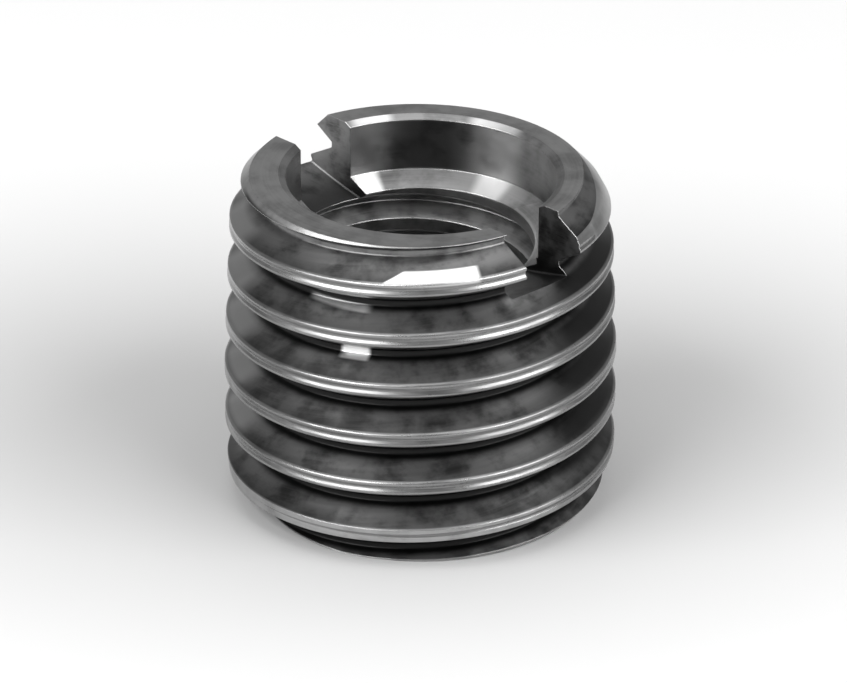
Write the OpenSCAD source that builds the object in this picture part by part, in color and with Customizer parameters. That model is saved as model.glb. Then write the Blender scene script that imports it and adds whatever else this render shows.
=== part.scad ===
// Slotted thread adapter: a headless bushing with a coarse outer thread, a smaller
// threaded bore under a plain recess, and a driver slot sawn across its top.
// Units are millimetres. The foot stands on z = 0, the axis is +Z and the slot runs along X.

/* [Outer thread] */
// Diameter over the crests, below the taper
outer_d = 18.9; // [18.2:0.1:30]
// Distance between neighbouring crests
outer_pitch = 2.54; // [2.5:0.01:4]
// Depth of the groove below the crests
outer_groove = 1.45; // [0.6:0.05:1.55]
// Width of the flat along the crest
outer_crest_w = 0.58; // [0.1:0.01:0.65]
// Angle from +X at which the crest rises through the foot
outer_start = 47; // [-180:1:180]
// How much smaller the taper leaves the radius over the crests, at the top face
taper_w = 0.42; // [0:0.01:0.5]
// Height of the tapered turns below the top face
taper_h = 9.35; // [5:0.05:11]

/* [Body] */
// Height from the foot to the top face
body_h = 16.35; // [12:0.05:30]
// Width of the chamfer round the top face
top_chamfer_w = 0.77; // [0.3:0.01:0.8]
// Height of the chamfer below the top face
top_chamfer_h = 0.79; // [0.4:0.01:1.2]
// Width of the steeper shoulder below that chamfer
shoulder_w = 0.68; // [0.3:0.01:0.7]
// Height of the shoulder below the chamfer
shoulder_h = 1.25; // [0.6:0.01:1.4]
// Distance of the top chamfers' centre from the axis, towards +Y
top_offset = -0.22; // [-0.3:0.01:0.3]
// Width of the chamfer round the foot
foot_chamfer_w = 0.85; // [0.5:0.05:1.1]
// Height of the chamfer above the foot
foot_chamfer_h = 1; // [0.5:0.05:1.2]
// Width of the steeper shoulder above that chamfer
foot_shoulder_w = 0.15; // [0.1:0.01:0.3]
// Height of the shoulder above the chamfer
foot_shoulder_h = 1.6; // [1:0.05:1.8]

/* [Bore] */
// Diameter of the bore, over the crests of the inner thread
bore_d = 10.8; // [6:0.05:11.5]
// Width and height of the countersink at the foot of the bore
bore_lead = 0.7; // [0.2:0.05:1]
// Diameter of the plain recess above the bore
recess_d = 12.86; // [12:0.02:13.4]
// Depth of the recess wall below the top face
recess_depth = 2.82; // [1:0.02:6]
// Full angle of the cone that leads from the recess to the bore
recess_cone = 124; // [90:1:150]
// Width of the chamfer round the mouth of the recess
rim_chamfer_w = 0.35; // [0.1:0.05:0.5]
// Height of the chamfer round the mouth of the recess
rim_chamfer_h = 0.2; // [0.1:0.05:0.5]

/* [Slot] */
// Width between the slot walls
slot_w = 3.5; // [1:0.1:5]
// Depth of the slot below the top face, at the axis
slot_depth = 4.26; // [2:0.02:6]
// Diameter of the disc cutter, which leaves the floor of the slot as an arc
cutter_d = 60; // [50:1:120]
// Distance of the slot's centre line from the axis, towards +Y
slot_offset = -0.3; // [-1:0.05:1]

/* [Hidden] */
steel = [0.16, 0.16, 0.17];
// Slope of each thread flank from a plane across the axis
flank_slope = 30;
// Flat facets in one turn of the thread, of a round surface and of the disc cutter
thread_facets = 60;
round_facets = 96;
cutter_facets = 144;
// How far a cutting shape runs past the face it cuts
past = 0.5;
crest_r = outer_d / 2;
root_r = crest_r - outer_groove;
half_crest = outer_crest_w / 2;
flank_rise = outer_groove * tan(flank_slope);
bore_r = bore_d / 2;
// Turns of rod below the foot, and in all, that keep its closed ends outside the body
turns_below = 2;
thread_turns = turns_below + ceil(body_h / outer_pitch) + 1;
recess_r = recess_d / 2;
rim_r = recess_r + rim_chamfer_w;
bore_top = body_h - recess_depth - (recess_r - bore_r) / tan(recess_cone / 2);

// Corners of one ridge as [radius, height], from the groove below to the groove above
ridge = [
    [root_r, -half_crest - flank_rise],
    [crest_r, -half_crest],
    [crest_r, half_crest],
    [root_r, half_crest + flank_rise]
];

// Share of its radius that the thread keeps at a height above the foot
function kept(height) = 1 - taper_w / crest_r * max(0, height - body_h + taper_h) / taper_h;

// Places one corner of the ridge after a number of turns above or below the foot
function on_helix(turn, corner) =
    let (height = corner[1] + outer_pitch * turn, radius = corner[0] * kept(height))
    [radius * cos(360 * turn), radius * sin(360 * turn), height];

// Fan of triangles from one hub point round a closed loop of points
function fan(hub, loop) = [
    for (i = [0:len(loop) - 1]) [hub, loop[i], loop[(i + 1) % len(loop)]]
];

// Right-hand threaded rod of one start. Its crest rises through the foot on +X, and
// each end is closed by a fan that stays within one turn of that end.
module threaded_rod() {
    corners = len(ridge);
    top_corner = corners - 1;
    last = thread_turns * thread_facets;
    low_hub = (last + 1) * corners;
    high_hub = low_hub + 1;

    function at(facet, corner) = facet * corners + corner;

    points = [
        for (facet = [0:last]) for (corner = ridge)
            on_helix(facet / thread_facets - turns_below, corner),
        [0, 0, ridge[0][1] - outer_pitch * turns_below],
        [0, 0, ridge[top_corner][1] + outer_pitch * (thread_turns - turns_below)]
    ];
    // Crest and flanks
    ridge_faces = [
        for (f = [0:last - 1]) for (c = [0:top_corner - 1])
            [at(f, c), at(f, c + 1), at(f + 1, c + 1), at(f + 1, c)]
    ];
    // Bottom of the groove, from each turn to the next
    groove_faces = [
        for (f = [0:last - thread_facets - 1])
            let (g = f + thread_facets)
            [at(f, top_corner), at(g, 0), at(g + 1, 0), at(f + 1, top_corner)]
    ];
    low_loop = [
        for (f = [0:thread_facets]) at(f, 0),
        for (c = [top_corner:-1:1]) at(0, c)
    ];
    high_loop = [
        for (f = [last:-1:last - thread_facets]) at(f, top_corner),
        for (c = [0:top_corner - 1]) at(last, c)
    ];
    all_faces = concat(ridge_faces, groove_faces, fan(low_hub, low_loop), fan(high_hub, high_loop));
    polyhedron(points, all_faces);
}

// Outer thread at its place on the body, before its ends are turned down
module outer_thread() {
    rotate([0, 0, outer_start])
        threaded_rod();
}

// Blank with the foot's chamfer and shoulder, open upwards past the top face
module foot_blank() {
    shoulder_r = crest_r - foot_shoulder_w;
    foot_r = shoulder_r - foot_chamfer_w;
    shoulder_slope = foot_shoulder_h / foot_shoulder_w;
    outside_r = crest_r + past;
    rotate_extrude($fn = round_facets)
        polygon([
            [0, 0],
            [foot_r, 0],
            [shoulder_r, foot_chamfer_h],
            [outside_r, foot_chamfer_h + (outside_r - shoulder_r) * shoulder_slope],
            [outside_r, body_h + past],
            [0, body_h + past]
        ]);
}

// Blank with the top face, its chamfer and the shoulder, open downwards past the foot
module top_blank() {
    shoulder_r = crest_r - shoulder_w;
    top_r = shoulder_r - top_chamfer_w;
    shoulder_slope = shoulder_h / shoulder_w;
    shoulder_z = body_h - top_chamfer_h;
    outside_r = crest_r + past;
    translate([0, top_offset, 0])
        rotate_extrude($fn = round_facets)
            polygon([
                [0, -past],
                [outside_r, -past],
                [outside_r, shoulder_z - (outside_r - shoulder_r) * shoulder_slope],
                [shoulder_r, shoulder_z],
                [top_r, body_h],
                [0, body_h]
            ]);
}

// Everything that the boring tools take out along the axis
module stepped_bore() {
    rotate_extrude($fn = round_facets)
        polygon([
            [0, -past],
            [bore_r + bore_lead + past, -past],
            [bore_r, bore_lead],
            [bore_r, bore_top],
            [recess_r, body_h - recess_depth],
            [recess_r, body_h - rim_chamfer_h],
            [rim_r, body_h],
            [rim_r, body_h + past],
            [0, body_h + past]
        ]);
}

// Cut across both walls for a driver blade, made by lowering a disc cutter
module driver_slot() {
    translate([0, slot_offset, body_h - slot_depth + cutter_d / 2])
        rotate([90, 0, 0])
            cylinder(d = cutter_d, h = slot_w, center = true, $fn = cutter_facets);
}

module bushing() {
    color(steel)
        difference() {
            intersection() {
                outer_thread();
                foot_blank();
                top_blank();
            }
            stepped_bore();
            driver_slot();
        }
}

bushing();
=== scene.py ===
"""Dressed model of a slotted thread adapter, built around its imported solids.

The bushing is made the way a screw machine makes it. A rod is threaded, turned to a
blank with chamfered ends, bored and tapped along its axis, and sawn across for a driver.
Shapes are modelled in millimetres and brought to metres when they are finished.
"""

import logging
import math
from dataclasses import dataclass, field
from enum import Enum
from typing import Callable, Iterable, Sequence

import bpy
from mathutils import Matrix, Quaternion, Vector

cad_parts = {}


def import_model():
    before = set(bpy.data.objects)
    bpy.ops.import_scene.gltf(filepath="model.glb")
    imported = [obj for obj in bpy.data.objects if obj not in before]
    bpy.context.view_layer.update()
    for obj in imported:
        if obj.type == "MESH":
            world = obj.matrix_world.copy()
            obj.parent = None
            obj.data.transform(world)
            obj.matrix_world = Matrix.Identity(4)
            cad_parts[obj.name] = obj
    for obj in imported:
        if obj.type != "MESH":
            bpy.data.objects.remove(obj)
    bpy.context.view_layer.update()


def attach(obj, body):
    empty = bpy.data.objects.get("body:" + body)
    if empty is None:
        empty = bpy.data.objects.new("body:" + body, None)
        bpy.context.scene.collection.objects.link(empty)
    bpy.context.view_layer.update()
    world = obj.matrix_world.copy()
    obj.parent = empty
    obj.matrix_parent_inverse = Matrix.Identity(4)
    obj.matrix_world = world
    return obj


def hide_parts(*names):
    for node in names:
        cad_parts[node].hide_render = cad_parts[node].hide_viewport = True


LOG = logging.getLogger("thread_adapter")

MM = 0.001
ORIGIN = (0.0, 0.0, 0.0)
AXIS_Z = (0.0, 0.0, 1.0)

# How far a tool shape runs past what it cuts, and how close vertices are to be merged.
PAST = 1.0
MERGE_MM = 0.0005

# Sizes that more than one tool or finish shares, in millimetres.
HEIGHT = 16.35
CREST_R = 9.44
BLANK_R = 9.45
NARROWING = 0.42
NARROWED_H = 9.35
BORE_R = 5.4

Point2 = tuple[float, float]
Point3 = tuple[float, float, float]
Socket = bpy.types.NodeSocket
Piece = bpy.types.Object


class Cut(Enum):
    """How one solid works on another."""

    KEEP_INSIDE = "INTERSECT"
    TAKE_AWAY = "DIFFERENCE"


class Surface(Enum):
    """Which tool left a face, which is also its material's place on the bushing."""

    THREADED = 0
    TURNED = 1
    BORED = 2
    TAPPED = 3
    SAWN = 4


# --------------------------------------------------------------------------- bench


class Bench:
    """Small modelling moves shared by every tool shape."""

    @staticmethod
    def clear() -> None:
        """Leaves edit mode and deselects everything."""
        if bpy.context.object and bpy.context.object.mode != "OBJECT":
            bpy.ops.object.mode_set(mode="OBJECT")
        bpy.ops.object.select_all(action="DESELECT")

    @staticmethod
    def take(piece: Piece) -> None:
        """Makes one object the only selected and active one.

        Args:
            piece: The object to work on.
        """
        Bench.clear()
        piece.select_set(True)
        bpy.context.view_layer.objects.active = piece

    @staticmethod
    def edit_all() -> None:
        """Enters edit mode with everything selected."""
        bpy.ops.object.mode_set(mode="EDIT")
        bpy.ops.mesh.select_all(action="SELECT")

    @staticmethod
    def leave() -> None:
        """Goes back to object mode."""
        bpy.ops.object.mode_set(mode="OBJECT")

    @staticmethod
    def chain(name: str, points: Sequence[Point2]) -> Piece:
        """Extrudes one vertex through a row of points in the XZ plane.

        Args:
            name: The new object's name.
            points: Radius and height of each point, in millimetres.

        Returns:
            An object that holds the open chain of edges.
        """
        Bench.clear()
        bpy.ops.mesh.primitive_plane_add(size=1.0)
        piece = bpy.context.object
        piece.name = name
        bpy.ops.object.mode_set(mode="EDIT")
        bpy.ops.mesh.select_mode(type="VERT")
        bpy.ops.mesh.select_all(action="SELECT")
        bpy.ops.mesh.merge(type="CENTER")
        radius, height = points[0]
        bpy.ops.transform.translate(value=(radius, 0.0, height))
        for (r0, z0), (r1, z1) in zip(points, points[1:]):
            step = {"value": (r1 - r0, 0.0, z1 - z0)}
            bpy.ops.mesh.extrude_region_move(TRANSFORM_OT_translate=step)
        Bench.leave()
        return piece

    @staticmethod
    def turn(name: str, points: Sequence[Point2], facets: int) -> Piece:
        """Spins a half section that starts and ends on the axis into a closed solid.

        Args:
            name: The new object's name.
            points: Radius and height of each corner of the half section.
            facets: Steps in one turn.

        Returns:
            The turned solid.
        """
        piece = Bench.chain(name, points)
        Bench.edit_all()
        bpy.ops.mesh.spin(steps=facets, angle=math.tau, center=ORIGIN, axis=AXIS_Z)
        bpy.ops.mesh.select_all(action="SELECT")
        bpy.ops.mesh.remove_doubles(threshold=MERGE_MM)
        bpy.ops.mesh.normals_make_consistent(inside=False)
        Bench.leave()
        return piece

    @staticmethod
    def modify(piece: Piece, kind: str, **settings: object) -> None:
        """Adds one modifier, sets it and applies it.

        Args:
            piece: The object to change.
            kind: The modifier's type.
            **settings: Values of the modifier's own properties.
        """
        Bench.take(piece)
        modifier = piece.modifiers.new(kind.title(), kind)
        for key, value in settings.items():
            setattr(modifier, key, value)
        bpy.ops.object.modifier_apply(modifier=modifier.name)

    @staticmethod
    def work(piece: Piece, tool: Piece, cut: Cut) -> None:
        """Cuts a piece with a tool shape, which is then thrown away.

        Args:
            piece: The object to cut.
            tool: The closed solid that cuts it.
            cut: What is kept of the piece.
        """
        Bench.modify(piece, "BOOLEAN", operation=cut.value, object=tool, solver="MANIFOLD")
        bpy.data.objects.remove(tool)

    @staticmethod
    def mark(piece: Piece, finishes: Iterable[bpy.types.Material], surface: Surface) -> None:
        """Gives a shape every finish, and its faces the one of its own tool.

        Args:
            piece: The object to dress.
            finishes: The bushing's materials, in the order of Surface.
            surface: The tool that leaves these faces.
        """
        for finish in finishes:
            piece.data.materials.append(finish)
        for face in piece.data.polygons:
            face.material_index = surface.value

    @staticmethod
    def settle(piece: Piece) -> None:
        """Brings a finished shape from millimetres to metres, at the origin.

        Args:
            piece: The object to bring to scale.
        """
        Bench.take(piece)
        bpy.ops.transform.resize(value=(MM, MM, MM), center_override=ORIGIN)
        bpy.ops.object.transform_apply(location=True, rotation=True, scale=True)


def rounded(corners: Sequence[Point2], radii: Sequence[float], steps: int) -> list[Point2]:
    """Rounds the inner corners of an open line.

    Args:
        corners: Radius and height of each corner.
        radii: One rounding for each corner, 0 where it stays sharp.
        steps: Edges in each rounding.

    Returns:
        The line with arcs in place of its rounded corners.
    """
    line: list[Point2] = [corners[0]]
    for before, corner, after, radius in zip(corners, corners[1:], corners[2:], radii[1:]):
        here = Vector(corner)
        back, ahead = (Vector(before) - here).normalized(), (Vector(after) - here).normalized()
        half = back.angle(ahead) / 2
        if radius <= 0:
            line.append(corner)
            continue
        reach = radius / math.tan(half)
        hub = here + (back + ahead).normalized() * (radius / math.sin(half))
        first, last = here + back * reach - hub, here + ahead * reach - hub
        for i in range(steps + 1):
            spoke = first.lerp(last, i / steps).normalized() * radius
            line.append(tuple(hub + spoke))
    line.append(corners[-1])
    return line


# --------------------------------------------------------------------------- node work


class Sheet:
    """A node tree with short ways to add and join its nodes."""

    def __init__(self, tree: bpy.types.NodeTree) -> None:
        """Takes up a tree.

        Args:
            tree: The node tree to write in.
        """
        self.tree = tree

    def add(self, kind: str, **settings: object) -> bpy.types.Node:
        """Adds a node.

        Args:
            kind: The node's type.
            **settings: Values of the node's own properties.

        Returns:
            The new node.
        """
        node = self.tree.nodes.new(kind)
        for key, value in settings.items():
            setattr(node, key, value)
        return node

    def feed(self, socket: Socket, value: object) -> None:
        """Links a socket, or writes a plain value on it.

        Args:
            socket: The input to feed.
            value: Another node's output, or a plain value.
        """
        if isinstance(value, bpy.types.NodeSocket):
            self.tree.links.new(value, socket)
        else:
            socket.default_value = value

    def math(self, operation: str, *values: object) -> Socket:
        """Adds a Math node.

        Args:
            operation: Its operation.
            *values: What feeds its inputs, in order.

        Returns:
            Its result.
        """
        node = self.add("ShaderNodeMath", operation=operation)
        for socket, value in zip(node.inputs, values):
            self.feed(socket, value)
        return node.outputs[0]

    def span(self, value: object, low: object, high: object, soft: bool = True) -> Socket:
        """Maps low to 0 and high to 1, clamped.

        Args:
            value: What is mapped.
            low: The value that gives 0.
            high: The value that gives 1.
            soft: Whether the ends are eased.

        Returns:
            The mapped value.
        """
        kind = "SMOOTHSTEP" if soft else "LINEAR"
        node = self.add("ShaderNodeMapRange", interpolation_type=kind)
        for name, given in (("Value", value), ("From Min", low), ("From Max", high)):
            self.feed(node.inputs[name], given)
        return node.outputs[0]

    def point(self, x: object, y: object, z: object) -> Socket:
        """Joins three numbers into a vector.

        Args:
            x: First part.
            y: Second part.
            z: Third part.

        Returns:
            The vector.
        """
        node = self.add("ShaderNodeCombineXYZ")
        for socket, value in zip(node.inputs, (x, y, z)):
            self.feed(socket, value)
        return node.outputs[0]

    def noise(self, where: Socket, scale: object, detail: float, rough: float = 0.5) -> Socket:
        """Adds a noise pattern.

        Args:
            where: The point it is read at.
            scale: How fine it is.
            detail: Its octaves.
            rough: The strength of its finer octaves.

        Returns:
            Its value, about 0.5 on average.
        """
        node = self.add("ShaderNodeTexNoise")
        given = {"Vector": where, "Scale": scale, "Detail": detail, "Roughness": rough}
        for name, value in given.items():
            self.feed(node.inputs[name], value)
        return node.outputs["Fac"]

    def blend(self, share: object, first: object, second: object) -> Socket:
        """Mixes two colours.

        Args:
            share: How much of the second shows.
            first: Colour at 0.
            second: Colour at 1.

        Returns:
            The mixed colour.
        """
        node = self.add("ShaderNodeMix", data_type="RGBA")
        self.feed(node.inputs["Factor"], share)
        for socket, colour in zip((s for s in node.inputs if s.type == "RGBA"), (first, second)):
            self.feed(socket, colour)
        return [s for s in node.outputs if s.type == "RGBA"][0]

    def level(self, share: object, first: object, second: object) -> Socket:
        """Mixes two numbers.

        Args:
            share: How much of the second shows.
            first: Value at 0.
            second: Value at 1.

        Returns:
            The mixed value.
        """
        node = self.add("ShaderNodeMix", data_type="FLOAT")
        for socket, given in zip(node.inputs[:1] + node.inputs[2:4], (share, first, second)):
            self.feed(socket, given)
        return node.outputs[0]

    def group(self, tree: bpy.types.NodeTree, **values: object) -> bpy.types.Node:
        """Places a node group.

        Args:
            tree: The group.
            **values: What feeds its inputs, with _ for a space in their names.

        Returns:
            The group's node.
        """
        node = self.add("ShaderNodeGroup", node_tree=tree)
        for key, value in values.items():
            self.feed(node.inputs[key.replace("_", " ")], value)
        return node


def new_group(
    name: str, inputs: dict[str, float | None], outputs: dict[str, str]
) -> tuple[Sheet, bpy.types.Node, bpy.types.Node]:
    """Starts a shader node group.

    Args:
        name: The group's name.
        inputs: Each input with its usual value, None for a vector.
        outputs: Each output with Float, Color or Vector.

    Returns:
        The group's sheet, its input node and its output node.
    """
    tree = bpy.data.node_groups.new(name, "ShaderNodeTree")
    for key, value in inputs.items():
        kind = "NodeSocketVector" if value is None else "NodeSocketFloat"
        socket = tree.interface.new_socket(key, in_out="INPUT", socket_type=kind)
        if value is not None:
            socket.default_value = value
    for key, kind in outputs.items():
        tree.interface.new_socket(key, in_out="OUTPUT", socket_type="NodeSocket" + kind)
    sheet = Sheet(tree)
    return sheet, sheet.add("NodeGroupInput"), sheet.add("NodeGroupOutput")


class Effects:
    """Node groups that more than one finish uses."""

    # Tool marks: how coarse the broad waves are, their share, and where a streak shows.
    BROAD_SCALE = 0.22
    BROAD_SHARE = 0.35
    STREAK = (0.35, 0.65)
    # Oxide: the noise at which a finish with no cover turns pale, and the fade above it.
    PALE_FROM = 0.82
    PALE_FADE = 0.28
    # Rubbed edges: the rounding's samples, how the rubbing breaks up, and its least turn.
    EDGE_SAMPLES = 6
    BREAKS_PER_MM = 1.1
    BREAKS = (0.35, 0.7)
    LEAST_TURN = 0.004

    def __init__(self) -> None:
        """Builds every group once."""
        self.around = self._around()
        self.marks = self._marks()
        self.oxide = self._oxide()
        self.edges = self._edges()

    def _around(self) -> bpy.types.NodeTree:
        """Polar place about the axis, in millimetres.

        Returns:
            The group.
        """
        sheet, given, result = new_group(
            "around_axis",
            {"Place": None},
            {"Radius": "Float", "Turn": "Float", "Height": "Float", "Unrolled": "Vector"},
        )
        split = sheet.add("ShaderNodeSeparateXYZ")
        sheet.feed(split.inputs[0], given.outputs["Place"])
        x, y, z = (sheet.math("DIVIDE", socket, MM) for socket in split.outputs)
        squares = sheet.math("ADD", sheet.math("MULTIPLY", x, x), sheet.math("MULTIPLY", y, y))
        radius = sheet.math("SQRT", squares)
        turn = sheet.math("DIVIDE", sheet.math("ARCTAN2", y, x), math.tau)
        unit_x, unit_y = (sheet.math("DIVIDE", part, radius) for part in (x, y))
        sheet.feed(result.inputs["Radius"], radius)
        sheet.feed(result.inputs["Turn"], turn)
        sheet.feed(result.inputs["Height"], z)
        sheet.feed(result.inputs["Unrolled"], sheet.point(unit_x, unit_y, 0.0))
        return sheet.tree

    def _marks(self) -> bpy.types.NodeTree:
        """Fine parallel scratches that a tool leaves along its path.

        Returns:
            The group.
        """
        sheet, given, result = new_group(
            "tool_marks",
            {"Along": None, "Across": 0.0, "Fine": 14.0, "Long": 1.5},
            {"Height": "Float", "Streak": "Float"},
        )
        stretched = sheet.add("ShaderNodeVectorMath", operation="SCALE")
        sheet.feed(stretched.inputs[0], given.outputs["Along"])
        sheet.feed(stretched.inputs["Scale"], given.outputs["Long"])
        lift = sheet.math("MULTIPLY", given.outputs["Across"], given.outputs["Fine"])
        where = sheet.add("ShaderNodeVectorMath", operation="ADD")
        sheet.feed(where.inputs[0], stretched.outputs[0])
        sheet.feed(where.inputs[1], sheet.point(0.0, 0.0, lift))
        fine = sheet.noise(where.outputs[0], 1.0, detail=3.0, rough=0.6)
        broad = sheet.noise(where.outputs[0], self.BROAD_SCALE, detail=1.0)
        height = sheet.level(self.BROAD_SHARE, fine, broad)
        sheet.feed(result.inputs["Height"], height)
        sheet.feed(result.inputs["Streak"], sheet.span(height, *self.STREAK))
        return sheet.tree

    def _oxide(self) -> bpy.types.NodeTree:
        """Cloudy patches of darker and paler oxide.

        Returns:
            The group.
        """
        sheet, given, result = new_group(
            "oxide_clouds",
            {"Place": None, "Size": 1.6, "Cover": 0.5},
            {"Cloud": "Float"},
        )
        scale = sheet.math("DIVIDE", 1.0 / MM, given.outputs["Size"])
        cloud = sheet.noise(given.outputs["Place"], scale, detail=4.0, rough=0.62)
        low = sheet.math("SUBTRACT", self.PALE_FROM, given.outputs["Cover"])
        high = sheet.math("ADD", low, self.PALE_FADE)
        sheet.feed(result.inputs["Cloud"], sheet.span(cloud, low, high))
        return sheet.tree

    def _edges(self) -> bpy.types.NodeTree:
        """Edges rubbed bright, with a small rounding that catches light.

        Returns:
            The group.
        """
        sheet, given, result = new_group(
            "rubbed_edges",
            {"Place": None, "Reach": 0.07 * MM, "Start": 0.03, "Full": 0.25},
            {"Rubbed": "Float", "Normal": "Vector"},
        )
        bevel = sheet.add("ShaderNodeBevel", samples=self.EDGE_SAMPLES)
        sheet.feed(bevel.inputs["Radius"], given.outputs["Reach"])
        shape = sheet.add("ShaderNodeNewGeometry")
        dot = sheet.add("ShaderNodeVectorMath", operation="DOT_PRODUCT")
        sheet.feed(dot.inputs[0], bevel.outputs[0])
        sheet.feed(dot.inputs[1], shape.outputs["Normal"])
        turned = sheet.math("SUBTRACT", 1.0, dot.outputs["Value"])
        waves = sheet.noise(given.outputs["Place"], self.BREAKS_PER_MM / MM, detail=3.0)
        broken = sheet.span(waves, *self.BREAKS)
        start = sheet.math("MULTIPLY_ADD", broken, given.outputs["Start"], self.LEAST_TURN)
        sheet.feed(result.inputs["Rubbed"], sheet.span(turned, start, given.outputs["Full"]))
        sheet.feed(result.inputs["Normal"], bevel.outputs[0])
        return sheet.tree


# --------------------------------------------------------------------------- finishes

Colour = tuple[float, float, float, float]

FULL_TURN_DEG = 360.0


def grey(level: float) -> Colour:
    """A neutral colour with full alpha, from its linear lightness."""
    return (level, level, level, 1.0)


@dataclass(frozen=True)
class PaintedLightPatch:
    """A place about the axis with painted light or shade, paler or darker than around it.

    It lies between two turns from X in degrees, two heights and two radii in
    millimetres, and fades at its borders. With a lean, its smallest radius falls as it
    goes round, down to the innermost.
    """

    turn_deg: tuple[float, float]
    height: tuple[float, float]
    radius: tuple[float, float]
    level: float
    fade_deg: float = 1.0
    fade_mm: float = 0.06
    lean: float = 0.0
    innermost: float = 0.0

    def share(self, sheet: Sheet, around: bpy.types.Node) -> Socket:
        """How much of a point lies in the patch.

        Args:
            sheet: The material's sheet.
            around: Place about the axis.

        Returns:
            1 inside, 0 outside, with a short fade.
        """
        turn = sheet.math("MULTIPLY", around.outputs["Turn"], FULL_TURN_DEG)
        along = sheet.math("SUBTRACT", turn, self.turn_deg[0])
        leaned = sheet.math("MULTIPLY_ADD", along, self.lean, around.outputs["Radius"])
        share: object = 1.0
        for value, (low, high), fade in (
            (turn, self.turn_deg, self.fade_deg),
            (around.outputs["Height"], self.height, self.fade_mm),
            (around.outputs["Radius"], (self.innermost, self.radius[1]), self.fade_mm),
            (leaned, (self.radius[0], math.inf), self.fade_mm),
        ):
            share = sheet.math("MULTIPLY", share, sheet.span(value, low - fade, low + fade))
            if high < math.inf:
                share = sheet.math("MULTIPLY", share, sheet.span(value, high + fade, high - fade))
        return share


@dataclass(frozen=True)
class DarkenedSteel:
    """Steel with a dark finish that one tool's marks show through."""

    name: str
    dark: float
    pale: float
    bright: float
    rough: float
    rough_bright: float
    cover: float = 0.5
    cloud_mm: float = 1.6
    mark_fine: float = 14.0
    mark_long: float = 1.5
    mark_depth: float = 0.3
    mark_mm: float = 0.02
    streak_share: float = 0.35
    streak_gain: float = 1.25
    rough_spread: float = 0.08
    edge_mm: float = 0.07
    straight: bool = False
    # Patches of painted light and shade.
    painted_light_patches: tuple[PaintedLightPatch, ...] = ()

    def build(self, effects: Effects) -> bpy.types.Material:
        """Makes the material.

        Args:
            effects: The shared node groups.

        Returns:
            The material.
        """
        material = bpy.data.materials.new(self.name)
        material.use_nodes = True
        material.node_tree.nodes.clear()
        sheet = Sheet(material.node_tree)
        place = sheet.add("ShaderNodeTexCoord").outputs["Object"]
        around = sheet.group(effects.around, Place=place)
        oxide = sheet.group(effects.oxide, Place=place, Size=self.cloud_mm, Cover=self.cover)
        edges = sheet.group(effects.edges, Place=place, Reach=self.edge_mm * MM)
        marks = self.tool_marks(sheet, effects, place, around)
        rubbed = self.burnish(sheet, around, edges, marks)
        base = sheet.blend(oxide.outputs["Cloud"], grey(self.dark), grey(self.pale))
        streak = sheet.math("MULTIPLY", marks.outputs["Streak"], self.streak_share)
        base = sheet.blend(streak, base, grey(self.pale * self.streak_gain))
        # Painted shade in the grooves of a threaded finish, none on the others.
        base = self.add_painted_shade(sheet, around, base)
        # Patches of painted light and shade laid over the base colour.
        for patch in self.painted_light_patches:
            base = sheet.blend(patch.share(sheet, around), base, grey(patch.level))
        colour = sheet.blend(rubbed, base, grey(self.bright))
        rough = sheet.level(oxide.outputs["Cloud"], self.rough, self.rough + self.rough_spread)
        rough = sheet.level(rubbed, rough, self.rough_bright)
        bump = sheet.add("ShaderNodeBump")
        bump.inputs["Strength"].default_value = self.mark_depth
        bump.inputs["Distance"].default_value = self.mark_mm * MM
        sheet.feed(bump.inputs["Height"], marks.outputs["Height"])
        sheet.feed(bump.inputs["Normal"], edges.outputs["Normal"])
        shader = sheet.add("ShaderNodeBsdfPrincipled")
        shader.inputs["Metallic"].default_value = 1.0
        sheet.feed(shader.inputs["Base Color"], colour)
        sheet.feed(shader.inputs["Roughness"], rough)
        sheet.feed(shader.inputs["Normal"], bump.outputs[0])
        output = sheet.add("ShaderNodeOutputMaterial")
        sheet.feed(output.inputs["Surface"], shader.outputs[0])
        return material

    def tool_marks(
        self, sheet: Sheet, effects: Effects, place: Socket, around: bpy.types.Node
    ) -> bpy.types.Node:
        """Lays the tool marks round the axis, or straight along X for a saw.

        Args:
            sheet: The material's sheet.
            effects: The shared node groups.
            place: Object coordinates.
            around: Place about the axis.

        Returns:
            The node of the marks.
        """
        if self.straight:
            split = sheet.add("ShaderNodeSeparateXYZ")
            sheet.feed(split.inputs[0], place)
            x, y, z = (sheet.math("DIVIDE", socket, MM) for socket in split.outputs)
            along = sheet.point(x, 0.0, 0.0)
            across = sheet.math("ADD", y, z)
        else:
            along = around.outputs["Unrolled"]
            across = sheet.math("ADD", around.outputs["Height"], around.outputs["Radius"])
        return sheet.group(
            effects.marks, Along=along, Across=across, Fine=self.mark_fine, Long=self.mark_long
        )

    def add_painted_shade(self, sheet: Sheet, around: bpy.types.Node, base: Socket) -> Socket:
        """Adds no painted shade and leaves the base colour as it is."""
        return base

    def burnish(
        self,
        sheet: Sheet,
        around: bpy.types.Node,
        edges: bpy.types.Node,
        marks: bpy.types.Node,
    ) -> Socket:
        """Where the dark finish is rubbed away: along the edges only.

        Args:
            sheet: The material's sheet.
            around: Place about the axis.
            edges: The rubbed edges.
            marks: The tool marks.

        Returns:
            The share of bare metal.
        """
        return edges.outputs["Rubbed"]


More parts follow.
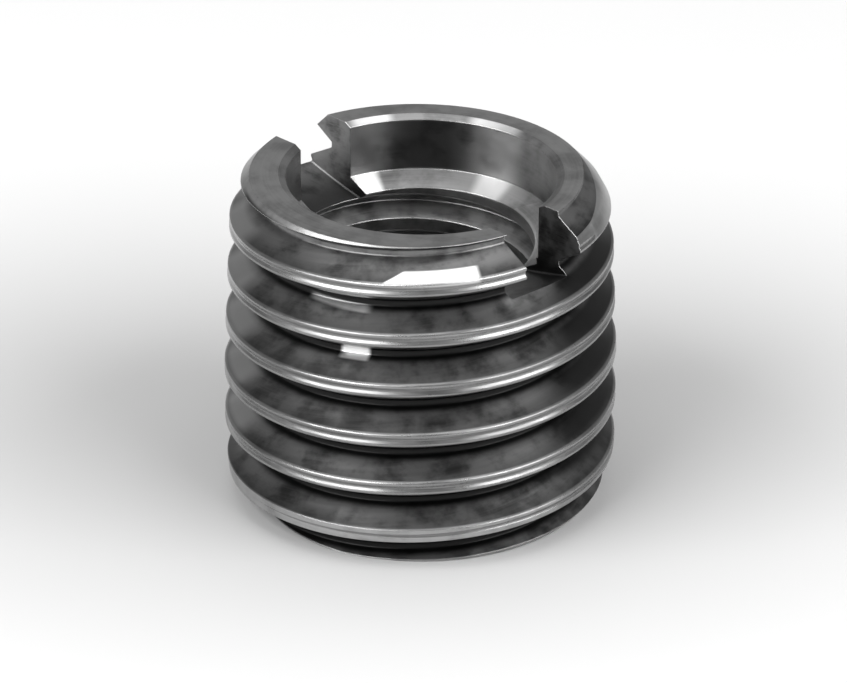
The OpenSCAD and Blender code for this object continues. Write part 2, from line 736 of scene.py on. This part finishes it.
@dataclass(frozen=True)
class ThreadedSteel(DarkenedSteel):
    """Darkened steel whose thread crests are rubbed bright, with painted shade in its grooves."""

    crest_r: float = CREST_R
    taper_w: float = NARROWING
    worn_depth: float = 0.16
    worn_full: float = 0.4
    crest_worn: float = 0.75
    streak_kept: float = 0.4
    # Painted shade in the grooves: its starting depth, full depth and grey in the bottoms, the
    # top above which the bottoms have none and its fade, and its share and full depth near the
    # crests.
    shade_from_depth: float = 1.0
    root_shade_full: float = 1.3
    groove_shade_grey: float = 0.02
    root_shade_top: float = 15.3
    root_shade_fade: float = 0.4
    flank_shade_share: float = 0.6
    flank_shade_full: float = 0.1

    def below_crest(self, sheet: Sheet, around: bpy.types.Node) -> Socket:
        """How deep a point lies under the crests.

        Args:
            sheet: The material's sheet.
            around: Place about the axis.

        Returns:
            The depth in millimetres.
        """
        height = around.outputs["Height"]
        climbed = sheet.span(height, HEIGHT - NARROWED_H, HEIGHT, soft=False)
        crest_r = sheet.math("MULTIPLY_ADD", climbed, -self.taper_w, self.crest_r)
        return sheet.math("ABSOLUTE", sheet.math("SUBTRACT", crest_r, around.outputs["Radius"]))

    def add_painted_shade(self, sheet: Sheet, around: bpy.types.Node, base: Socket) -> Socket:
        """Paints shade into the groove bottom, and fainter painted shade onto its outer part.

        Args:
            sheet: The material's sheet.
            around: Place about the axis.
            base: The colour so far.

        Returns:
            The colour with painted shade in the grooves.
        """
        depth = self.below_crest(sheet, around)
        # Painted shade, at part strength, on the outer part of the groove near the crests.
        outer = sheet.span(depth, self.shade_from_depth, self.flank_shade_full)
        outer = sheet.math("MULTIPLY", outer, self.flank_shade_share)
        base = sheet.blend(outer, base, grey(self.groove_shade_grey))
        # Painted shade in the groove bottoms, left out of the top groove.
        share = sheet.span(depth, self.shade_from_depth, self.root_shade_full)
        height = around.outputs["Height"]
        below = sheet.span(height, self.root_shade_top, self.root_shade_top - self.root_shade_fade)
        share = sheet.math("MULTIPLY", share, below)
        return sheet.blend(share, base, grey(self.groove_shade_grey))

    def burnish(
        self,
        sheet: Sheet,
        around: bpy.types.Node,
        edges: bpy.types.Node,
        marks: bpy.types.Node,
    ) -> Socket:
        """Where the dark finish is rubbed away: the crests, in streaks along them.

        Args:
            sheet: The material's sheet.
            around: Place about the axis.
            edges: The rubbed edges.
            marks: The tool marks.

        Returns:
            The share of bare metal.
        """
        depth = self.below_crest(sheet, around)
        crest = sheet.span(depth, self.worn_depth, self.worn_depth * self.worn_full)
        streak = marks.outputs["Streak"]
        worn = sheet.math("MULTIPLY_ADD", streak, -self.streak_kept, self.crest_worn)
        crest = sheet.math("MULTIPLY", crest, worn)
        return sheet.math("MAXIMUM", crest, edges.outputs["Rubbed"])


THREADED_PAINTED_LIGHT = (
    # Painted light makes the flanks of one side paler, and painted shade makes those of another
    # darker.
    PaintedLightPatch((-138.0, -112.0), (3.0, 15.5), (8.25, 9.3), 0.36, fade_deg=5.0, fade_mm=0.25),
    PaintedLightPatch((0.0, 44.0), (3.0, 14.4), (8.2, 9.25), 0.035, fade_deg=9.0, fade_mm=0.2),
    # Two short painted highlights in the bottoms of the upper grooves.
    PaintedLightPatch((-85.0, -63.0), (12.78, 13.02), (7.8, 8.2), 0.8, fade_deg=2.0),
    PaintedLightPatch((-73.0, -63.0), (10.1, 10.9), (7.8, 8.2), 0.8),
    # A painted reflection on the top ridge, which widens as it goes round.
    PaintedLightPatch((-57.0, -28.0), (14.8, 16.3), (9.02, 9.12), 0.95, lean=0.1, innermost=8.42),
)

TURNED_PAINTED_SHADE = (
    # A dark crescent of painted shade on the top chamfer.
    PaintedLightPatch((-124.0, -88.0), (15.2, 16.15), (8.35, 8.8), 0.06, fade_deg=5.0, fade_mm=0.1),
)

BORED_PAINTED_LIGHT = (
    # Two painted highlights on the cone ring.
    PaintedLightPatch((154.5, 166.5), (12.9, 13.56), (5.3, 6.5), 0.9, fade_deg=2.0),
    PaintedLightPatch((92.0, 108.0), (12.9, 13.56), (5.3, 6.5), 0.6, fade_deg=3.0),
    # The recess wall, with painted shade in the middle and painted highlights on either side of
    # it.
    PaintedLightPatch((116.0, 146.0), (13.6, 16.1), (6.3, 6.5), 0.1, fade_deg=9.0),
    PaintedLightPatch((152.0, 172.0), (13.6, 16.1), (6.3, 6.5), 0.5, fade_deg=7.0),
    PaintedLightPatch((90.0, 109.0), (13.6, 16.1), (6.3, 6.5), 0.75, fade_deg=9.0),
    # Two painted highlights on the rim above it.
    PaintedLightPatch((148.0, 165.0), (16.15, 16.5), (6.4, 6.9), 0.8, fade_deg=3.0),
    PaintedLightPatch((90.0, 113.0), (16.15, 16.5), (6.4, 6.9), 0.75, fade_deg=4.0),
)

SAWN_PAINTED_SHADE = (
    # Painted shade on the slot's floor, and darker painted shade at one end.
    PaintedLightPatch((-190.0, 190.0), (11.0, 13.1), (5.0, 10.0), 0.05, fade_mm=0.4),
    PaintedLightPatch((-16.0, 30.0), (11.0, 13.6), (5.0, 8.4), 0.035, fade_deg=3.0, fade_mm=0.6),
)

FINISHES: dict[Surface, DarkenedSteel] = {
    Surface.THREADED: ThreadedSteel(
        "steel_threaded",
        dark=0.075,
        pale=0.19,
        bright=0.4,
        rough=0.3,
        rough_bright=0.24,
        painted_light_patches=THREADED_PAINTED_LIGHT,
    ),
    Surface.TURNED: DarkenedSteel(
        "steel_turned",
        dark=0.27,
        pale=0.4,
        bright=0.45,
        rough=0.28,
        rough_bright=0.22,
        mark_fine=9.0,
        painted_light_patches=TURNED_PAINTED_SHADE,
    ),
    Surface.BORED: DarkenedSteel(
        "steel_bored",
        dark=0.15,
        pale=0.27,
        bright=0.45,
        rough=0.34,
        rough_bright=0.24,
        mark_fine=9.0,
        painted_light_patches=BORED_PAINTED_LIGHT,
    ),
    Surface.TAPPED: ThreadedSteel(
        "steel_tapped",
        dark=0.18,
        pale=0.32,
        bright=0.45,
        rough=0.3,
        rough_bright=0.24,
        crest_r=BORE_R,
        # Pale painted shade in the tapped grooves, none near the crests.
        taper_w=0.0,
        groove_shade_grey=0.2,
        flank_shade_share=0.0,
    ),
    Surface.SAWN: DarkenedSteel(
        "steel_sawn",
        dark=0.06,
        pale=0.2,
        bright=0.45,
        rough=0.36,
        rough_bright=0.26,
        cloud_mm=1.1,
        straight=True,
        painted_light_patches=SAWN_PAINTED_SHADE,
    ),
}


# --------------------------------------------------------------------------- the bushing


@dataclass
class ThreadForm:
    """A right-hand helical rod with rounded crests and groove bottoms."""

    crest_r: float
    root_r: float
    pitch: float
    crest_w: float
    start_deg: float
    facets: int
    crest_round: float
    root_round: float
    height: float = HEIGHT
    flank_deg: float = 30.0
    round_steps: int = 3
    spare_turns: int = 1
    taper_w: float = 0.0
    taper_h: float = NARROWED_H
    seam_w: float = 0.0
    seam_depth: float = 0.0
    seam_round: float = 0.1

    def section(self) -> list[Point2]:
        """One pitch of the rod's side, from groove bottom to groove bottom.

        Returns:
            Radius and height of each point.
        """
        rise = (self.crest_r - self.root_r) * math.tan(math.radians(self.flank_deg))
        half_crest = self.crest_w / 2
        half_pitch = self.pitch / 2
        corners = [
            (self.root_r, -half_pitch),
            (self.root_r, -half_crest - rise),
            (self.crest_r, -half_crest),
            (self.crest_r, half_crest),
            (self.root_r, half_crest + rise),
            (self.root_r, half_pitch),
        ]
        radii = [0.0, self.root_round, self.crest_round, self.crest_round, self.root_round, 0.0]
        if self.seam_w:
            half_seam = self.seam_w / 2
            corners[3:3] = [
                (self.crest_r, -half_seam),
                (self.crest_r - self.seam_depth, 0.0),
                (self.crest_r, half_seam),
            ]
            radii[3:3] = [self.seam_round] * 3
        return rounded(corners, radii, self.round_steps)

    def build(self, name: str) -> Piece:
        """Winds the section up the axis and closes both ends outside the body.

        Args:
            name: The rod's name.

        Returns:
            The closed rod.
        """
        turns = math.ceil(self.height / self.pitch) + 2 * self.spare_turns
        rod = Bench.chain(name, self.section())
        Bench.modify(
            rod,
            "SCREW",
            angle=math.tau,
            screw_offset=self.pitch,
            iterations=turns,
            steps=self.facets,
            render_steps=self.facets,
        )
        Bench.edit_all()
        bpy.ops.mesh.remove_doubles(threshold=MERGE_MM)
        middle = turns * self.pitch / 2
        for is_end in (lambda z: z < middle, lambda z: z > middle):
            self.close_end(rod, is_end)
        bpy.ops.mesh.select_all(action="SELECT")
        bpy.ops.mesh.normals_make_consistent(inside=False)
        bpy.ops.transform.translate(value=(0.0, 0.0, -self.spare_turns * self.pitch))
        # Without a window this operator turns clockwise, so the angle is negative.
        bpy.ops.transform.rotate(
            value=-math.radians(self.start_deg), orient_axis="Z", center_override=ORIGIN
        )
        Bench.leave()
        if self.taper_w:
            self.taper(rod)
        return rod

    def taper(self, rod: Piece) -> None:
        """Narrows the rod evenly above a height, and leaves it as it is below.

        The modifier scales by height above the origin and holds the scale it has at
        the start of the taper below it, so the rod is brought back to size after.

        Args:
            rod: The closed rod.
        """
        heights = [vertex.co.z for vertex in rod.data.vertices]
        low, top = min(heights), max(heights)
        start = self.height - self.taper_h
        slope = self.taper_w / (self.crest_r * self.taper_h)
        per_mm = -slope / (1 + slope * start)
        Bench.modify(
            rod,
            "SIMPLE_DEFORM",
            deform_method="TAPER",
            deform_axis="Z",
            limits=((start - low) / (top - low), 1.0),
            factor=per_mm * (top - start),
        )
        back = 1 / (1 + per_mm * start)
        Bench.edit_all()
        bpy.ops.transform.resize(value=(back, back, 1.0), center_override=ORIGIN)
        Bench.leave()

    def close_end(self, rod: Piece, is_end: Callable[[float], bool]) -> None:
        """Draws the open edge at one end of the rod in to a point near the axis.

        Args:
            rod: The rod, in edit mode.
            is_end: Says whether a height belongs to this end.
        """
        bpy.ops.mesh.select_all(action="DESELECT")
        bpy.ops.mesh.select_mode(type="EDGE")
        bpy.ops.mesh.select_non_manifold()
        Bench.leave()
        mesh = rod.data
        for edge in mesh.edges:
            if edge.select:
                heights = [mesh.vertices[v].co.z for v in edge.vertices]
                edge.select = is_end(sum(heights) / len(heights))
        for vertex in mesh.vertices:
            vertex.select = False
        for edge in mesh.edges:
            if edge.select:
                for v in edge.vertices:
                    mesh.vertices[v].select = True
        bpy.ops.object.mode_set(mode="EDIT")
        bpy.ops.mesh.extrude_edges_move()
        bpy.ops.mesh.merge(type="CENTER")


@dataclass
class FootBlank:
    """The blank with the foot's chamfer and the steeper shoulder above it."""

    height: float = HEIGHT
    blank_r: float = BLANK_R
    chamfer_w: float = 0.85
    chamfer_h: float = 1.0
    shoulder_w: float = 0.15
    shoulder_h: float = 1.6
    facets: int = 192

    def build(self, name: str) -> Piece:
        """Turns the blank, open upwards past the top face.

        Args:
            name: Its name.

        Returns:
            The closed solid.
        """
        outside, shoulder_r = self.blank_r + PAST, self.blank_r - self.shoulder_w
        slope = self.shoulder_h / self.shoulder_w
        corners = [
            (0.0, 0.0),
            (shoulder_r - self.chamfer_w, 0.0),
            (shoulder_r, self.chamfer_h),
            (outside, self.chamfer_h + (outside - shoulder_r) * slope),
            (outside, self.height + PAST),
            (0.0, self.height + PAST),
        ]
        return Bench.turn(name, corners, self.facets)


@dataclass
class TopBlank:
    """The blank with the top face, its chamfer and the steeper shoulder below it."""

    height: float = HEIGHT
    blank_r: float = BLANK_R
    chamfer_w: float = 0.77
    chamfer_h: float = 0.79
    shoulder_w: float = 0.68
    shoulder_h: float = 1.25
    offset: float = -0.22
    facets: int = 192

    def build(self, name: str) -> Piece:
        """Turns the blank and moves it off the axis as the real one is.

        Args:
            name: Its name.

        Returns:
            The closed solid.
        """
        outside, shoulder_r = self.blank_r + PAST, self.blank_r - self.shoulder_w
        shoulder_z = self.height - self.chamfer_h
        corners = [
            (0.0, -PAST),
            (outside, -PAST),
            (outside, shoulder_z - (outside - shoulder_r) * self.shoulder_h / self.shoulder_w),
            (shoulder_r, shoulder_z),
            (shoulder_r - self.chamfer_w, self.height),
            (0.0, self.height),
        ]
        blank = Bench.turn(name, corners, self.facets)
        Bench.edit_all()
        bpy.ops.transform.translate(value=(0.0, self.offset, 0.0))
        Bench.leave()
        return blank


@dataclass
class SteppedBore:
    """What the boring tools take out: countersink, bore, cone and recess."""

    height: float = HEIGHT
    bore_r: float = BORE_R
    lead: float = 0.7
    recess_r: float = 6.43
    recess_depth: float = 2.82
    cone_deg: float = 124.0
    rim_w: float = 0.35
    rim_h: float = 0.2
    facets: int = 192

    def build(self, name: str) -> Piece:
        """Turns the cutting shape.

        Args:
            name: Its name.

        Returns:
            The closed solid.
        """
        cone_h = (self.recess_r - self.bore_r) / math.tan(math.radians(self.cone_deg / 2))
        floor_z = self.height - self.recess_depth
        rim_r = self.recess_r + self.rim_w
        corners = [
            (0.0, -PAST),
            (self.bore_r + self.lead + PAST, -PAST),
            (self.bore_r, self.lead),
            (self.bore_r, floor_z - cone_h),
            (self.recess_r, floor_z),
            (self.recess_r, self.height - self.rim_h),
            (rim_r, self.height),
            (rim_r, self.height + PAST),
            (0.0, self.height + PAST),
        ]
        return Bench.turn(name, corners, self.facets)


@dataclass
class DriverSlot:
    """What a disc cutter takes out when it is lowered across the top face."""

    height: float = HEIGHT
    width: float = 3.5
    depth: float = 4.26
    offset: float = -0.3
    cutter_r: float = 30.0
    rim_round: float = 0.12
    round_steps: int = 3
    facets: int = 288

    def build(self, name: str) -> Piece:
        """Makes the disc, with slightly rounded rims.

        Args:
            name: Its name.

        Returns:
            The closed solid.
        """
        Bench.clear()
        bpy.ops.mesh.primitive_cylinder_add(
            vertices=self.facets,
            radius=self.cutter_r,
            depth=self.width,
            end_fill_type="NGON",
            location=(0.0, self.offset, self.height - self.depth + self.cutter_r),
            rotation=(math.pi / 2, 0.0, 0.0),
        )
        saw = bpy.context.object
        saw.name = name
        bpy.ops.object.transform_apply(location=True, rotation=True, scale=True)
        bpy.ops.object.mode_set(mode="EDIT")
        bpy.ops.mesh.select_mode(type="EDGE")
        bpy.ops.mesh.select_all(action="DESELECT")
        Bench.leave()
        for edge in saw.data.edges:
            ends = [saw.data.vertices[v].co for v in edge.vertices]
            edge.select = abs(ends[0].y - ends[1].y) < MERGE_MM
        bpy.ops.object.mode_set(mode="EDIT")
        bpy.ops.mesh.bevel(offset=self.rim_round, segments=self.round_steps, affect="EDGES")
        Bench.leave()
        return saw


def outer_form() -> ThreadForm:
    """The coarse thread round the bushing.

    Returns:
        Its form.
    """
    return ThreadForm(
        crest_r=CREST_R,
        root_r=8.0,
        pitch=2.54,
        crest_w=0.58,
        start_deg=47.0,
        facets=144,
        crest_round=0.09,
        root_round=0.12,
        taper_w=NARROWING,
        seam_w=0.36,
        seam_depth=0.11,
    )


def inner_form() -> ThreadForm:
    """The thread that the tap cuts down the bore.

    Returns:
        Its form.
    """
    return ThreadForm(
        crest_r=6.35,
        root_r=5.2,
        pitch=1.954,
        crest_w=0.24,
        start_deg=84.0,
        facets=128,
        crest_round=0.05,
        root_round=0.0,
    )


@dataclass
class Bushing:
    """The whole adapter, one piece of steel."""

    outer: ThreadForm = field(default_factory=outer_form)
    inner: ThreadForm = field(default_factory=inner_form)
    foot: FootBlank = field(default_factory=FootBlank)
    top: TopBlank = field(default_factory=TopBlank)
    bore: SteppedBore = field(default_factory=SteppedBore)
    slot: DriverSlot = field(default_factory=DriverSlot)
    smooth_deg: float = 24.0

    def build(self, effects: Effects) -> Piece:
        """Threads, turns, bores, taps and saws the bushing, and dresses it.

        Args:
            effects: The shared node groups.

        Returns:
            The finished piece, in metres.
        """
        finishes = [FINISHES[surface].build(effects) for surface in Surface]
        body = self.outer.build("bushing_steel")
        Bench.mark(body, finishes, Surface.THREADED)
        steps = (
            (self.foot, "foot_blank", Surface.TURNED, Cut.KEEP_INSIDE),
            (self.top, "top_blank", Surface.TURNED, Cut.KEEP_INSIDE),
            (self.bore, "boring", Surface.BORED, Cut.TAKE_AWAY),
            (self.inner, "tap", Surface.TAPPED, Cut.TAKE_AWAY),
            (self.slot, "saw", Surface.SAWN, Cut.TAKE_AWAY),
        )
        for maker, name, surface, cut in steps:
            tool = maker.build(name)
            Bench.mark(tool, finishes, surface)
            Bench.work(body, tool, cut)
            LOG.info("%s: %d faces", name, len(body.data.polygons))
        Bench.settle(body)
        Bench.take(body)
        bpy.ops.object.shade_smooth_by_angle(angle=math.radians(self.smooth_deg))
        return body


# --------------------------------------------------------------------------- the studio


def outwards(turn_deg: float, rise_deg: float) -> Vector:
    """A direction away from the bushing.

    Args:
        turn_deg: Its turn about Z, from X.
        rise_deg: Its height above the floor.

    Returns:
        The direction, of length 1.
    """
    turn, rise = math.radians(turn_deg), math.radians(rise_deg)
    flat = math.cos(rise)
    return Vector((flat * math.cos(turn), flat * math.sin(turn), math.sin(rise)))


@dataclass(frozen=True)
class SoftLamp:
    """An evenly glowing panel that faces the bushing."""

    name: str
    turn_deg: float
    rise_deg: float
    size: tuple[float, float]
    glow: float
    reach: float = 0.4

    def build(self, aim: Vector) -> None:
        """Hangs the lamp.

        Args:
            aim: The point it faces.
        """
        width, height = self.size
        data = bpy.data.lights.new(self.name, "AREA")
        data.shape = "RECTANGLE"
        data.size, data.size_y = self.size
        # A panel's power is pi times its area times how bright it looks.
        data.energy = self.glow * math.pi * width * height
        lamp = bpy.data.objects.new(self.name, data)
        bpy.context.scene.collection.objects.link(lamp)
        lamp.location = aim + outwards(self.turn_deg, self.rise_deg) * self.reach
        lamp.rotation_euler = (aim - lamp.location).to_track_quat("-Z", "Y").to_euler()


@dataclass
class Studio:
    """Floor, daylight, lamps and camera."""

    aim: Point3 = (0.0, 0.0, 0.008175)
    distance: float = 0.23
    azimuth_deg: float = -45.5
    elevation_deg: float = 26.93
    roll_deg: float = 0.35
    sensor_mm: float = 36.0
    lens_mm: float = 203.4
    shift: tuple[float, float] = (0.0034, -0.018)
    floor_m: float = 2.0
    # Painted shade on the floor: the place, size and grey of its oval round the bushing.
    shadow_place: Point3 = (-0.0064, 0.0007, 0.0)
    shadow_size: Point3 = (0.055, 0.04, 1.0)
    shadow_grey: float = 0.44
    floor_grey: float = 0.7
    floor_rough: float = 0.6
    floor_gloss: float = 0.2
    sky: float = 0.34
    backdrop: float = 1.0
    clip_near: float = 0.01
    lamps: tuple[SoftLamp, ...] = (
        SoftLamp("lamp_left", turn_deg=-98.5, rise_deg=38.0, size=(0.34, 0.29), glow=6.0),
        SoftLamp("lamp_right", turn_deg=10.5, rise_deg=38.0, size=(0.32, 0.29), glow=5.0),
        SoftLamp("lamp_top", turn_deg=130.0, rise_deg=86.0, size=(0.3, 0.3), glow=1.5),
    )

    def floor(self) -> Piece:
        """Lays the pale floor, with painted shade a little darker in an oval where the bushing
        stands.

        Returns:
            The floor.
        """
        Bench.clear()
        bpy.ops.mesh.primitive_plane_add(size=self.floor_m)
        floor = bpy.context.object
        floor.name = "floor"
        material = bpy.data.materials.new("pale_floor")
        material.use_nodes = True
        sheet = Sheet(material.node_tree)
        place = sheet.add("ShaderNodeTexCoord").outputs["Object"]
        oval = sheet.add("ShaderNodeMapping", vector_type="TEXTURE")
        sheet.feed(oval.inputs["Vector"], place)
        oval.inputs["Location"].default_value = self.shadow_place
        # The oval's first side lies a quarter turn from the camera's.
        oval_turn = math.radians(self.azimuth_deg + 90.0)
        oval.inputs["Rotation"].default_value = (0.0, 0.0, oval_turn)
        oval.inputs["Scale"].default_value = self.shadow_size
        length = sheet.add("ShaderNodeVectorMath", operation="LENGTH")
        sheet.feed(length.inputs[0], oval.outputs[0])
        away = sheet.span(length.outputs["Value"], 0.0, 1.0)
        shader = material.node_tree.nodes["Principled BSDF"]
        # Painted shade in the oval, fading out to the pale floor.
        colour = sheet.blend(away, grey(self.shadow_grey), grey(self.floor_grey))
        sheet.feed(shader.inputs["Base Color"], colour)
        shader.inputs["Roughness"].default_value = self.floor_rough
        shader.inputs["Specular IOR Level"].default_value = self.floor_gloss
        floor.data.materials.append(material)
        return floor

    def daylight(self) -> None:
        """Sets an even world, white to the camera and dimmer to all it lights."""
        world = bpy.data.worlds.new("studio")
        world.use_nodes = True
        sheet = Sheet(world.node_tree)
        back = world.node_tree.nodes["Background"]
        path = sheet.add("ShaderNodeLightPath")
        strength = sheet.level(path.outputs["Is Camera Ray"], self.sky, self.backdrop)
        sheet.feed(back.inputs["Strength"], strength)
        back.inputs["Color"].default_value = grey(1.0)
        bpy.context.scene.world = world

    def camera(self) -> None:
        """Stands the camera up."""
        aim = Vector(self.aim)
        away = outwards(self.azimuth_deg, self.elevation_deg)
        data = bpy.data.cameras.new("camera")
        data.sensor_width = self.sensor_mm
        data.lens = self.lens_mm
        data.shift_x, data.shift_y = self.shift
        data.clip_start = self.clip_near
        camera = bpy.data.objects.new("camera", data)
        bpy.context.scene.collection.objects.link(camera)
        camera.location = aim + away * self.distance
        roll = Quaternion(AXIS_Z, math.radians(self.roll_deg))
        camera.rotation_euler = ((-away).to_track_quat("-Z", "Y") @ roll).to_euler()
        bpy.context.scene.camera = camera

    def build(self) -> Piece:
        """Sets the whole studio up.

        Returns:
            The floor.
        """
        self.camera()
        self.daylight()
        for lamp in self.lamps:
            lamp.build(Vector(self.aim))
        bpy.context.scene.view_settings.view_transform = "Standard"
        return self.floor()


def corners(box: tuple[Vector, Vector]) -> list[list[float]]:
    """A box as plain lists.

    Args:
        box: Its lowest and highest corner.

    Returns:
        The two corners.
    """
    return [[float(v) for v in corner] for corner in box]


def main() -> None:
    """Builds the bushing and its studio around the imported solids."""
    logging.basicConfig(level=logging.INFO, format="%(name)s: %(message)s")
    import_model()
    studio = Studio()
    floor = studio.build()
    bushing = Bushing().build(Effects())
    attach(bushing, "root")
    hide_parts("bushing")
    LOG.info("bushing: %d vertices", len(bushing.data.vertices))


if __name__ == "__main__":
    main()
